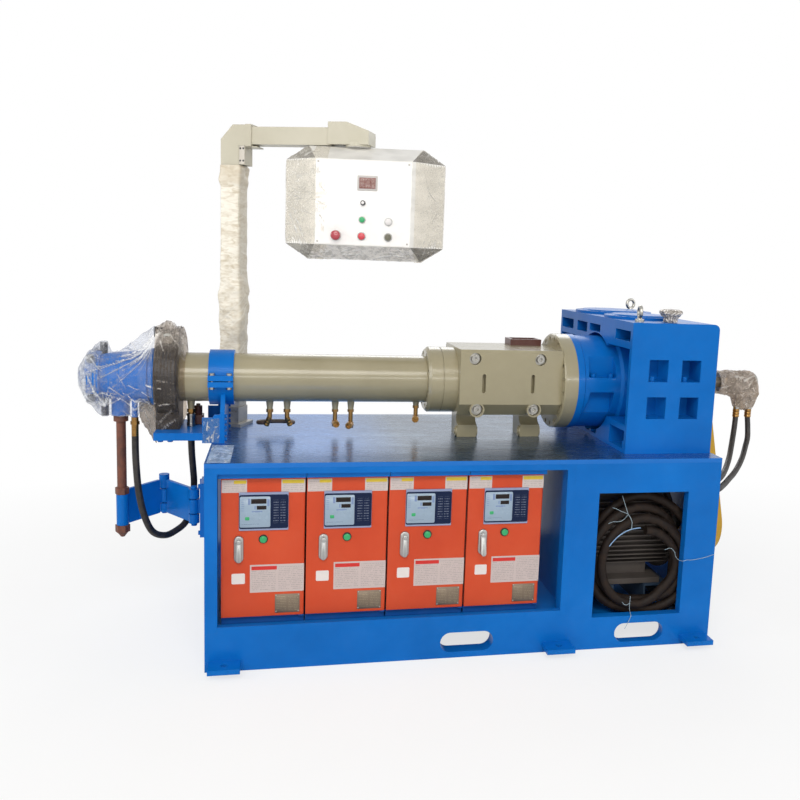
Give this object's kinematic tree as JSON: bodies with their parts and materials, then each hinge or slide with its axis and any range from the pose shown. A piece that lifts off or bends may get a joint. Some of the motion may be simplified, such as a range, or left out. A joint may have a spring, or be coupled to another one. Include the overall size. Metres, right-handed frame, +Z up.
{
  "type": "rubber extruder",
  "caption": "Cold-feed rubber extruder on a welded base with temperature-control cabinets, belt-driven gearbox, swing-out die head and a panel on a mast.",
  "frame": {"origin": "on the floor, under the screw axis, midway between the head's tip and the rotary union's end", "axes": "+X along the screw towards the drive end, +Y towards the rear, +Z up"},
  "size_m": [3.05, 1.156, 2.157],
  "materials": {
    "blue_enamel": "gloss",
    "cabinet_sheet": "satin",
    "orange_powder_coat": "satin",
    "silver_handle": "satin",
    "beige_enamel": "satin",
    "filmed_sheet_steel": "satin",
    "bright_steel": "machined",
    "dark_steel": "as cast",
    "brass": "machined",
    "motor_grey": "painted",
    "yellow_enamel": "gloss",
    "rusty_steel": "rusted",
    "head_enamel": "gloss",
    "grey_casting": "cast",
    "cream_powder_coat": "satin",
    "anodised_aluminium": "satin",
    "red_plastic": "gloss",
    "black_rubber": "smooth",
    "brown_rubber": "smooth"
  },
  "bodies": {
    "base": {"front_sill": "blue_enamel", "rear_sill": "blue_enamel", "cross_sills": "blue_enamel", "floor_plate": "blue_enamel", "posts": "blue_enamel", "top_rails": "blue_enamel", "table_top": "filmed_sheet_steel", "bay_front": "blue_enamel", "bay_rear": "blue_enamel", "end_panels": "blue_enamel", "cabinets": "cabinet_sheet", "support_bracket": "blue_enamel", "bracket_bolts": "blue_enamel", "clamp_lower": "blue_enamel", "clamp_upper": "blue_enamel", "clamp_bolts": "bright_steel", "barrel": "beige_enamel", "screw": "bright_steel", "barrel_flanges": "beige_enamel", "die_clamp": "dark_steel", "port_fittings": "brass", "feed_body": "beige_enamel", "feed_feet": "beige_enamel", "feed_flange": "beige_enamel", "feed_bolts": "bright_steel", "feed_hopper": "rusty_steel", "lantern": "blue_enamel", "gearbox": "blue_enamel", "gear_bolts": "blue_enamel", "gearbox_fittings": "bright_steel", "rotary_union": "bright_steel", "motor": "motor_grey", "motor_mount": "blue_enamel", "belt_guard": "yellow_enamel", "arm_bracket": "blue_enamel", "head_fitting": "brass", "mast_socket": "grey_casting", "hose_glands": "bright_steel", "head_hose": "black_rubber", "loop_hose": "brown_rubber", "union_hose_a": "black_rubber", "union_hose_b": "black_rubber", "coil_hose": "brown_rubber"},
    "door_1": {"door_1": "orange_powder_coat", "door_fittings_1": "silver_handle"},
    "door_2": {"door_2": "orange_powder_coat", "door_fittings_2": "silver_handle"},
    "door_3": {"door_3": "orange_powder_coat", "door_fittings_3": "silver_handle"},
    "door_4": {"door_4": "orange_powder_coat", "door_fittings_4": "silver_handle"},
    "inner_link": {"arm_inner": "blue_enamel"},
    "outer_link": {"arm_outer": "blue_enamel"},
    "head": {"head": "head_enamel", "head_bolts": "dark_steel", "jack_screw": "rusty_steel"},
    "mast": {"mast": "cream_powder_coat", "mast_arm": "cream_powder_coat"},
    "panel": {"panel_box": "anodised_aluminium", "panel_controls": "red_plastic"}
  },
  "joints": [
    {"name": "door_1_hinge", "type": "hinge", "parent": "base", "child": "door_1", "pos_m": [-0.636, -0.447, 0.474], "axis": [0, 0, 1], "range_deg": [0, 105]},
    {"name": "door_2_hinge", "type": "hinge", "parent": "base", "child": "door_2", "pos_m": [-0.316, -0.447, 0.474], "axis": [0, 0, 1], "range_deg": [0, 105]},
    {"name": "door_3_hinge", "type": "hinge", "parent": "base", "child": "door_3", "pos_m": [0.004, -0.447, 0.474], "axis": [0, 0, 1], "range_deg": [0, 105]},
    {"name": "door_4_hinge", "type": "hinge", "parent": "base", "child": "door_4", "pos_m": [0.324, -0.447, 0.474], "axis": [0, 0, 1], "range_deg": [0, 105]},
    {"name": "arm_wall_hinge", "type": "hinge", "parent": "base", "child": "inner_link", "pos_m": [-1.084, 0, 0.513], "axis": [0, 0, 1], "range_deg": [0, 37]},
    {"name": "arm_elbow", "type": "hinge", "parent": "inner_link", "child": "outer_link", "pos_m": [-1.229, 0.183, 0.513], "axis": [0, 0, 1], "range_deg": [-74, 0]},
    {"name": "head_pivot", "type": "hinge", "parent": "outer_link", "child": "head", "pos_m": [-1.374, 0, 0.6], "axis": [0, 0, 1], "range_deg": [0, 37]},
    {"name": "mast_swivel", "type": "hinge", "parent": "base", "child": "mast", "pos_m": [-0.934, 0.252, 0.87], "axis": [0, 0, 1], "range_deg": [-40, 60]},
    {"name": "panel_swivel", "type": "hinge", "parent": "mast", "child": "panel", "pos_m": [-0.41207, 0.03045, 2.06], "axis": [0, 0, 1], "range_deg": [-60, 60]}
  ],
  "couplings": [
    {"joint": "arm_elbow", "follows": "arm_wall_hinge", "ratio": -2},
    {"joint": "head_pivot", "follows": "arm_wall_hinge", "ratio": 1}
  ]
}
